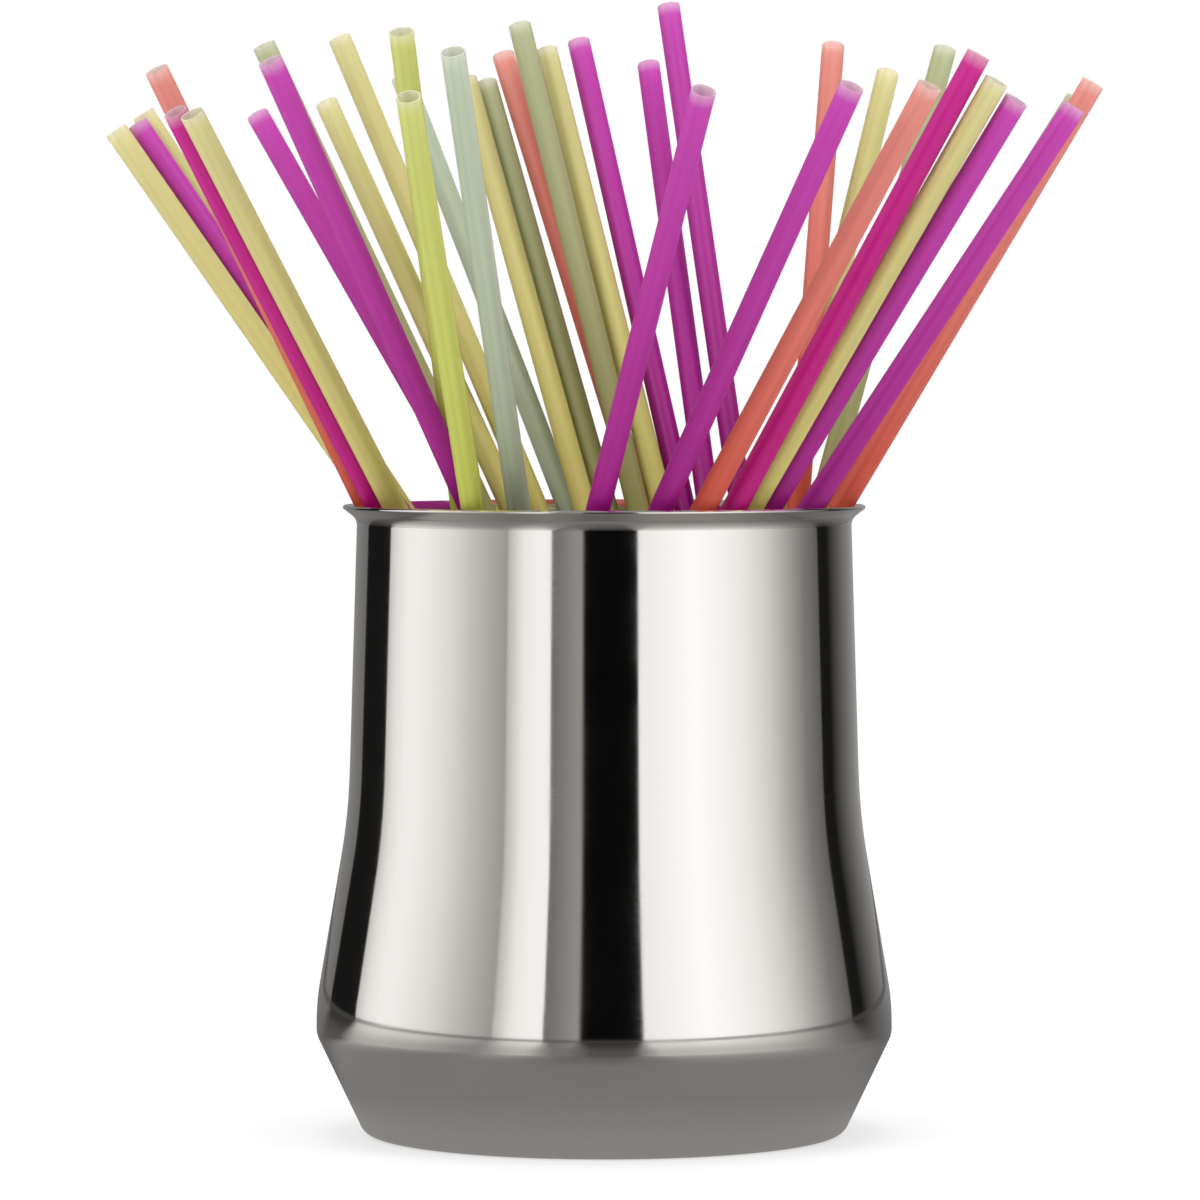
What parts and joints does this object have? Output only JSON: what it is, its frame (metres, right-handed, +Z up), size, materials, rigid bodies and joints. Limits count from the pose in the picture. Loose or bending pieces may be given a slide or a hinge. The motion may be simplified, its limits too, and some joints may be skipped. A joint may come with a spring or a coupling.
{
  "type": "straw holder",
  "caption": "Waisted polished-steel cup with a flared lip and a creased shoulder, holding a loose fan of straight drinking straws that lift out.",
  "frame": {"origin": "centre of the cup's flat base, on the surface that it stands on", "axes": "+Z up along the cup's axis, +X right and +Y away from the viewer, who faces the pictured front"},
  "size_m": [0.1917, 0.1727, 0.2207],
  "materials": {
    "polished_steel": "mirror polished stainless steel",
    "magenta_plastic": "translucent thin-walled extruded plastic",
    "pink_plastic": "translucent thin-walled extruded plastic",
    "coral_plastic": "translucent thin-walled extruded plastic",
    "yellow_plastic": "translucent thin-walled extruded plastic",
    "lime_plastic": "translucent thin-walled extruded plastic",
    "green_plastic": "translucent thin-walled extruded plastic",
    "grey_plastic": "translucent thin-walled extruded plastic"
  },
  "bodies": {
    "holder": {"holder": "polished_steel"},
    "lime_straw_01": {"lime_straw_01": "lime_plastic"},
    "grey_straw_01": {"grey_straw_01": "grey_plastic"},
    "lime_straw_02": {"lime_straw_02": "lime_plastic"},
    "magenta_straw_01": {"magenta_straw_01": "magenta_plastic"},
    "magenta_straw_02": {"magenta_straw_02": "magenta_plastic"},
    "magenta_straw_03": {"magenta_straw_03": "magenta_plastic"},
    "coral_straw_01": {"coral_straw_01": "coral_plastic"},
    "pink_straw_01": {"pink_straw_01": "pink_plastic"},
    "yellow_straw_01": {"yellow_straw_01": "yellow_plastic"},
    "magenta_straw_04": {"magenta_straw_04": "magenta_plastic"},
    "pink_straw_02": {"pink_straw_02": "pink_plastic"},
    "yellow_straw_02": {"yellow_straw_02": "yellow_plastic"},
    "coral_straw_02": {"coral_straw_02": "coral_plastic"},
    "magenta_straw_05": {"magenta_straw_05": "magenta_plastic"},
    "yellow_straw_03": {"yellow_straw_03": "yellow_plastic"},
    "magenta_straw_06": {"magenta_straw_06": "magenta_plastic"},
    "yellow_straw_04": {"yellow_straw_04": "yellow_plastic"},
    "coral_straw_03": {"coral_straw_03": "coral_plastic"},
    "coral_straw_04": {"coral_straw_04": "coral_plastic"},
    "yellow_straw_05": {"yellow_straw_05": "yellow_plastic"},
    "green_straw_01": {"green_straw_01": "green_plastic"},
    "magenta_straw_07": {"magenta_straw_07": "magenta_plastic"},
    "magenta_straw_08": {"magenta_straw_08": "magenta_plastic"},
    "yellow_straw_06": {"yellow_straw_06": "yellow_plastic"},
    "coral_straw_05": {"coral_straw_05": "coral_plastic"},
    "green_straw_02": {"green_straw_02": "green_plastic"},
    "yellow_straw_07": {"yellow_straw_07": "yellow_plastic"},
    "grey_straw_02": {"grey_straw_02": "grey_plastic"},
    "magenta_straw_09": {"magenta_straw_09": "magenta_plastic"},
    "green_straw_03": {"green_straw_03": "green_plastic"},
    "yellow_straw_08": {"yellow_straw_08": "yellow_plastic"},
    "magenta_straw_10": {"magenta_straw_10": "magenta_plastic"},
    "green_straw_04": {"green_straw_04": "green_plastic"},
    "yellow_straw_09": {"yellow_straw_09": "yellow_plastic"},
    "green_straw_05": {"green_straw_05": "green_plastic"}
  },
  "joints": [
    {"name": "lime_straw_01_lift", "type": "slide", "parent": "holder", "child": "lime_straw_01", "axis": [-0.1179, -0.539, 0.834], "range_m": [0, 0.16]},
    {"name": "grey_straw_01_lift", "type": "slide", "parent": "holder", "child": "grey_straw_01", "axis": [-0.1178, -0.476, 0.8715], "range_m": [0, 0.16]},
    {"name": "lime_straw_02_lift", "type": "slide", "parent": "holder", "child": "lime_straw_02", "axis": [-0.103, -0.447, 0.8886], "range_m": [0, 0.16]},
    {"name": "magenta_straw_01_lift", "type": "slide", "parent": "holder", "child": "magenta_straw_01", "axis": [0.2085, -0.5038, 0.8383], "range_m": [0, 0.16]},
    {"name": "magenta_straw_02_lift", "type": "slide", "parent": "holder", "child": "magenta_straw_02", "axis": [0.3728, -0.3861, 0.8438], "range_m": [0, 0.16]},
    {"name": "magenta_straw_03_lift", "type": "slide", "parent": "holder", "child": "magenta_straw_03", "axis": [0.546, -0.0638, 0.8354], "range_m": [0, 0.16]},
    {"name": "coral_straw_01_lift", "type": "slide", "parent": "holder", "child": "coral_straw_01", "axis": [0.5107, -0.0133, 0.8597], "range_m": [0, 0.16]},
    {"name": "pink_straw_01_lift", "type": "slide", "parent": "holder", "child": "pink_straw_01", "axis": [0.4656, -0.1406, 0.8738], "range_m": [0, 0.16]},
    {"name": "yellow_straw_01_lift", "type": "slide", "parent": "holder", "child": "yellow_straw_01", "axis": [0.4827, -0.2005, 0.8525], "range_m": [0, 0.16]},
    {"name": "magenta_straw_04_lift", "type": "slide", "parent": "holder", "child": "magenta_straw_04", "axis": [0.497, -0.2266, 0.8376], "range_m": [0, 0.16]},
    {"name": "pink_straw_02_lift", "type": "slide", "parent": "holder", "child": "pink_straw_02", "axis": [-0.4067, -0.3852, 0.8284], "range_m": [0, 0.16]},
    {"name": "yellow_straw_02_lift", "type": "slide", "parent": "holder", "child": "yellow_straw_02", "axis": [-0.4094, -0.3875, 0.826], "range_m": [0, 0.16]},
    {"name": "coral_straw_02_lift", "type": "slide", "parent": "holder", "child": "coral_straw_02", "axis": [-0.4038, -0.2959, 0.8657], "range_m": [0, 0.16]},
    {"name": "magenta_straw_05_lift", "type": "slide", "parent": "holder", "child": "magenta_straw_05", "axis": [-0.3775, -0.3254, 0.8669], "range_m": [0, 0.16]},
    {"name": "yellow_straw_03_lift", "type": "slide", "parent": "holder", "child": "yellow_straw_03", "axis": [-0.5698, 0.0186, 0.8215], "range_m": [0, 0.16]},
    {"name": "magenta_straw_06_lift", "type": "slide", "parent": "holder", "child": "magenta_straw_06", "axis": [-0.561, 0.0129, 0.8277], "range_m": [0, 0.16]},
    {"name": "yellow_straw_04_lift", "type": "slide", "parent": "holder", "child": "yellow_straw_04", "axis": [-0.5469, -0.0135, 0.8371], "range_m": [0, 0.16]},
    {"name": "coral_straw_03_lift", "type": "slide", "parent": "holder", "child": "coral_straw_03", "axis": [0.4434, -0.2967, 0.8458], "range_m": [0, 0.16]},
    {"name": "coral_straw_04_lift", "type": "slide", "parent": "holder", "child": "coral_straw_04", "axis": [-0.2772, 0.3402, 0.8986], "range_m": [0, 0.16]},
    {"name": "yellow_straw_05_lift", "type": "slide", "parent": "holder", "child": "yellow_straw_05", "axis": [-0.2462, 0.4163, 0.8752], "range_m": [0, 0.16]},
    {"name": "green_straw_01_lift", "type": "slide", "parent": "holder", "child": "green_straw_01", "axis": [-0.2258, 0.3142, 0.9221], "range_m": [0, 0.16]},
    {"name": "magenta_straw_07_lift", "type": "slide", "parent": "holder", "child": "magenta_straw_07", "axis": [-0.2031, 0.3628, 0.9095], "range_m": [0, 0.16]},
    {"name": "magenta_straw_08_lift", "type": "slide", "parent": "holder", "child": "magenta_straw_08", "axis": [-0.1316, 0.3154, 0.9398], "range_m": [0, 0.16]},
    {"name": "yellow_straw_06_lift", "type": "slide", "parent": "holder", "child": "yellow_straw_06", "axis": [0.2269, 0.4166, 0.8803], "range_m": [0, 0.16]},
    {"name": "coral_straw_05_lift", "type": "slide", "parent": "holder", "child": "coral_straw_05", "axis": [0.0809, 0.4205, 0.9037], "range_m": [0, 0.16]},
    {"name": "green_straw_02_lift", "type": "slide", "parent": "holder", "child": "green_straw_02", "axis": [0.5317, 0.0029, 0.8469], "range_m": [0, 0.16]},
    {"name": "yellow_straw_07_lift", "type": "slide", "parent": "holder", "child": "yellow_straw_07", "axis": [-0.3977, 0.3373, 0.8533], "range_m": [0, 0.16]},
    {"name": "grey_straw_02_lift", "type": "slide", "parent": "holder", "child": "grey_straw_02", "axis": [-0.3433, 0.3348, 0.8775], "range_m": [0, 0.16]},
    {"name": "magenta_straw_09_lift", "type": "slide", "parent": "holder", "child": "magenta_straw_09", "axis": [-0.4868, 0.2305, 0.8426], "range_m": [0, 0.16]},
    {"name": "green_straw_03_lift", "type": "slide", "parent": "holder", "child": "green_straw_03", "axis": [-0.4268, 0.1005, 0.8987], "range_m": [0, 0.16]},
    {"name": "yellow_straw_08_lift", "type": "slide", "parent": "holder", "child": "yellow_straw_08", "axis": [-0.3842, 0.1643, 0.9085], "range_m": [0, 0.16]},
    {"name": "magenta_straw_10_lift", "type": "slide", "parent": "holder", "child": "magenta_straw_10", "axis": [-0.1153, 0.4421, 0.8895], "range_m": [0, 0.16]},
    {"name": "green_straw_04_lift", "type": "slide", "parent": "holder", "child": "green_straw_04", "axis": [-0.2503, 0.4186, 0.873], "range_m": [0, 0.16]},
    {"name": "yellow_straw_09_lift", "type": "slide", "parent": "holder", "child": "yellow_straw_09", "axis": [-0.2278, 0.3695, 0.9009], "range_m": [0, 0.16]},
    {"name": "green_straw_05_lift", "type": "slide", "parent": "holder", "child": "green_straw_05", "axis": [0.2568, 0.3577, 0.8978], "range_m": [0, 0.16]}
  ]
}
